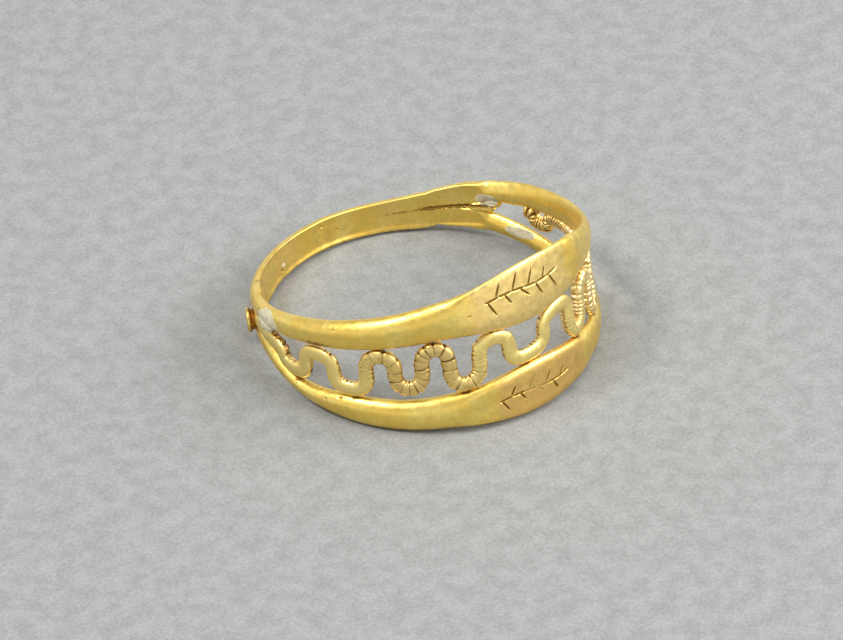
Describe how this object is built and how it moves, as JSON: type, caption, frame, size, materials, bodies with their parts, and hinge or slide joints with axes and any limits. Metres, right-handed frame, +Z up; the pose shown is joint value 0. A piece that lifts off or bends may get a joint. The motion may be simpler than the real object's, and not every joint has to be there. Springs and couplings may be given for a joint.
{
  "type": "openwork finger ring",
  "caption": "Openwork finger ring of gold: a flat band divides into an upper and a lower hoop with leaf-shaped panels, joined by a wavy beaded wire. Worn on a finger.",
  "frame": {"origin": "on the floor under the middle of the ring's box, as the ring lies on its side", "axes": "+Z up from the floor, -Y towards the bezel, +X to the right of someone who faces the bezel; the finger hole's axis leans 10.4 degrees from +Z towards +Y"},
  "size_m": [0.0201, 0.0204, 0.0093],
  "materials": {
    "worn_gold": "soft worn yellow gold, small pits and pale deposits",
    "beaded_gold": "ribbed gold wire, rubbed bright outside, orange-brown in the grooves",
    "disc_gold": "worn gold with a dark underside"
  },
  "bodies": {
    "root": {"hoop_frame": "worn_gold", "serpentine_wire": "beaded_gold", "shoulder_disc": "disc_gold"}
  },
  "joints": []
}
